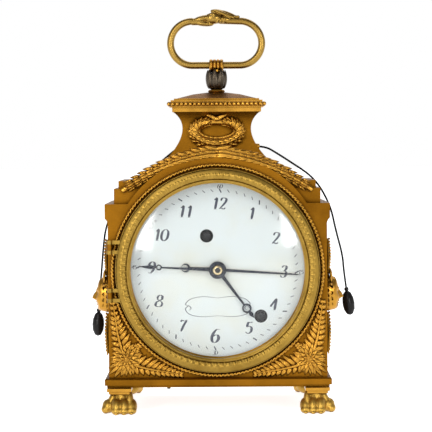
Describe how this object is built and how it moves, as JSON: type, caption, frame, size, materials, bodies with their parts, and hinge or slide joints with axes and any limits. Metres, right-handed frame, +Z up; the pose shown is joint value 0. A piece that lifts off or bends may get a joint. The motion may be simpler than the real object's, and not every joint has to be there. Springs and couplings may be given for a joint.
{
  "type": "officers clock",
  "caption": "Gilt travelling officer's clock on four paws, with a serpent handle, glazed front door, three hands and two pull cords.",
  "frame": {"origin": "on the table, midway between the four paws", "axes": "+Z up, -Y out of the dial towards the viewer, +X to the viewer's right"},
  "size_m": [0.1514, 0.0928, 0.2217],
  "materials": {
    "gilt_satin": "satin fire gilding on the flat case walls",
    "gilt_bright": "burnished fire gilding on the mounts and mouldings",
    "gilt_door": "burnished gilding, slightly greener, on the front door",
    "bronze_dark": "dark patinated bronze with worn highlights",
    "enamel": "white enamel, glossy",
    "blued_steel": "blued and polished",
    "watch_glass": "clear and domed",
    "movement_brass": "brushed and lacquered",
    "steel": "polished",
    "bell_metal": "turned bell metal",
    "cord": "black plaited silk",
    "pull": "ebonised, waxed"
  },
  "bodies": {
    "case_body": {"case": "gilt_satin", "plinth": "gilt_satin", "lid": "gilt_satin", "rope_ring": "gilt_bright", "cap": "gilt_bright", "finial_ring": "gilt_bright", "handle_collar": "gilt_bright", "laurel_left": "gilt_bright", "laurel_right": "gilt_bright", "neck_wreath": "gilt_bright", "corner_mount_left": "gilt_bright", "corner_mount_right": "gilt_bright", "side_mount_left": "gilt_bright", "side_mount_right": "gilt_bright", "paw_front_left": "gilt_bright", "paw_front_right": "gilt_bright", "paw_back_left": "gilt_bright", "paw_back_right": "gilt_bright", "dial_ring": "gilt_bright", "eyelet_left": "gilt_bright", "eyelet_right": "gilt_bright", "bud_finial": "bronze_dark", "base_stud": "bronze_dark", "dial": "enamel", "front_plate": "movement_brass", "back_plate": "movement_brass", "balance_cock": "movement_brass", "plate_screws": "steel", "base_screws": "steel", "bell_post": "steel", "bell": "bell_metal", "cord_left": "cord", "cord_right": "cord"},
    "front_door": {"bezel": "gilt_door", "glass": "watch_glass"},
    "rear_door": {"back_door": "gilt_bright", "door_knob": "gilt_bright"},
    "handle": {"serpent_handle": "gilt_bright"},
    "minute_set": {"minute_hand": "blued_steel", "cannon_pinion": "movement_brass", "centre_arbor": "steel"},
    "hour_set": {"hour_hand": "blued_steel", "hour_wheel": "movement_brass"},
    "motion_wheel": {"minute_wheel": "movement_brass"},
    "middle": {"middle_wheel": "movement_brass"},
    "going_drum": {"going_barrel": "movement_brass"},
    "strike_drum": {"strike_barrel": "movement_brass"},
    "going_winder": {"going_arbor": "steel"},
    "strike_winder": {"strike_arbor": "steel"},
    "alarm_set": {"alarm_hand": "blued_steel"},
    "balance": {"balance_wheel": "movement_brass"},
    "bell_hammer": {"hammer": "steel"},
    "repeat_pull_body": {"pull_right": "pull"},
    "alarm_pull_body": {"pull_left": "pull"}
  },
  "joints": [
    {"name": "bezel_hinge", "type": "hinge", "parent": "case_body", "child": "front_door", "pos_m": [-0.0582, -0.0406, 0.0773], "axis": [0, 0, -1], "range_deg": [0, 100]},
    {"name": "back_door_hinge", "type": "hinge", "parent": "case_body", "child": "rear_door", "pos_m": [-0.047, 0.0375, 0.069], "axis": [0, 0, 1], "range_deg": [0, 110]},
    {"name": "handle_swing", "type": "hinge", "parent": "case_body", "child": "handle", "pos_m": [0, 0, 0.1897], "axis": [1, 0, 0], "range_deg": [-95, 95]},
    {"name": "minute_turn", "type": "hinge", "parent": "case_body", "child": "minute_set", "pos_m": [0, 0, 0.0773], "axis": [0, 1, 0], "continuous": true},
    {"name": "hour_turn", "type": "hinge", "parent": "case_body", "child": "hour_set", "pos_m": [0, 0, 0.0773], "axis": [0, 1, 0], "continuous": true},
    {"name": "minute_wheel_turn", "type": "hinge", "parent": "case_body", "child": "motion_wheel", "pos_m": [-0.00831, 0, 0.0725], "axis": [0, 1, 0], "continuous": true},
    {"name": "middle_wheel_turn", "type": "hinge", "parent": "case_body", "child": "middle", "pos_m": [0.00447, 0, 0.06257], "axis": [0, 1, 0], "continuous": true},
    {"name": "going_barrel_turn", "type": "hinge", "parent": "case_body", "child": "going_drum", "pos_m": [0.0234, 0, 0.0518], "axis": [0, 1, 0], "continuous": true},
    {"name": "strike_barrel_turn", "type": "hinge", "parent": "case_body", "child": "strike_drum", "pos_m": [-0.0059, 0, 0.0957], "axis": [0, 1, 0], "continuous": true},
    {"name": "going_wind", "type": "hinge", "parent": "case_body", "child": "going_winder", "pos_m": [0.0234, 0, 0.0518], "axis": [0, 1, 0], "continuous": true},
    {"name": "strike_wind", "type": "hinge", "parent": "case_body", "child": "strike_winder", "pos_m": [-0.0059, 0, 0.0957], "axis": [0, 1, 0], "continuous": true},
    {"name": "alarm_set_turn", "type": "hinge", "parent": "case_body", "child": "alarm_set", "pos_m": [0, 0, 0.0773], "axis": [0, 1, 0], "continuous": true},
    {"name": "balance_swing", "type": "hinge", "parent": "case_body", "child": "balance", "pos_m": [0.018, 0, 0.097], "axis": [0, 1, 0], "range_deg": [-120, 120], "stiffness_Nm_per_rad": 0.0001},
    {"name": "hammer_swing", "type": "hinge", "parent": "case_body", "child": "bell_hammer", "pos_m": [0.029, 0, 0.078], "axis": [0, -1, 0], "range_deg": [0, 14], "stiffness_Nm_per_rad": 0.004},
    {"name": "repeat_pull", "type": "slide", "parent": "case_body", "child": "repeat_pull_body", "axis": [0.1443, 0.0103, -0.9895], "range_m": [0, 0.04], "stiffness_N_per_m": 30, "deforming": ["cord_right"]},
    {"name": "alarm_pull", "type": "slide", "parent": "case_body", "child": "alarm_pull_body", "axis": [-0.0408, -0.0204, -0.999], "range_m": [0, 0.028], "stiffness_N_per_m": 30, "deforming": ["cord_left"]}
  ],
  "couplings": [
    {"joint": "hour_turn", "follows": "minute_turn", "ratio": 0.083333},
    {"joint": "minute_wheel_turn", "follows": "minute_turn", "ratio": -0.33333},
    {"joint": "middle_wheel_turn", "follows": "minute_turn", "ratio": -0.16667},
    {"joint": "going_barrel_turn", "follows": "minute_turn", "ratio": 0.034722}
  ]
}
